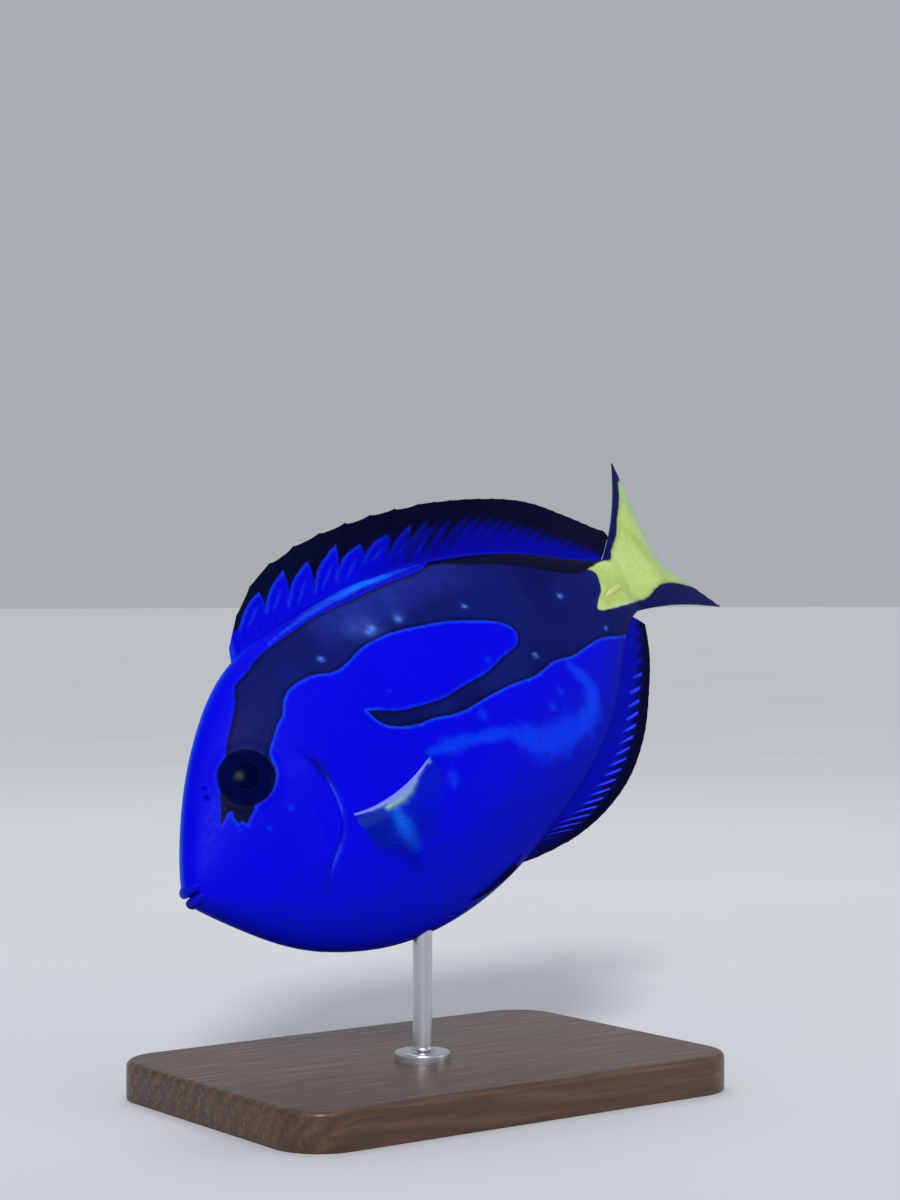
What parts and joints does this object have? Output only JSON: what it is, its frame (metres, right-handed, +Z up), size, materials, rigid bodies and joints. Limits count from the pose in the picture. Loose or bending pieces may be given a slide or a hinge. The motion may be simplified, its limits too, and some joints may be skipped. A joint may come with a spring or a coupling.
{
  "type": "regal blue tang model on a display stand",
  "caption": "Life-size deep, flat-sided reef fish with a tall fin along its back and a forked tail, nose down in a gentle turn, held over a flat base by one rod.",
  "frame": {"origin": "centre of the underside of the stand's base, on the floor", "axes": "+Z up; the fish's nose points mostly to -X and down, its tail to +X and up; its left side faces -Y and it is banked so that its back leans to +Y"},
  "size_m": [0.1844, 0.0879, 0.1529],
  "materials": {
    "skin": "bright blue skin with a dark violet-grey pattern, wet sheen",
    "blue_fin": "blue membrane with a black outer band, thin and slightly clear",
    "yellow_fin": "lemon yellow membrane with black upper and lower edges",
    "clear_fin": "clear bluish membrane, yellow near its leading edge",
    "eye": "near-black wet eye",
    "base_wood": "dark walnut, satin",
    "rod_steel": "brushed"
  },
  "bodies": {
    "root": {"head": "skin", "trunk": "skin", "tail_stalk": "skin", "dorsal_fin": "blue_fin", "anal_fin": "blue_fin", "tail_fin": "yellow_fin", "left_pectoral_fin": "clear_fin", "right_pectoral_fin": "clear_fin", "left_pelvic_fin": "blue_fin", "right_pelvic_fin": "blue_fin", "left_eye": "eye", "right_eye": "eye", "stand_base": "base_wood", "stand_rod": "rod_steel"}
  },
  "joints": []
}
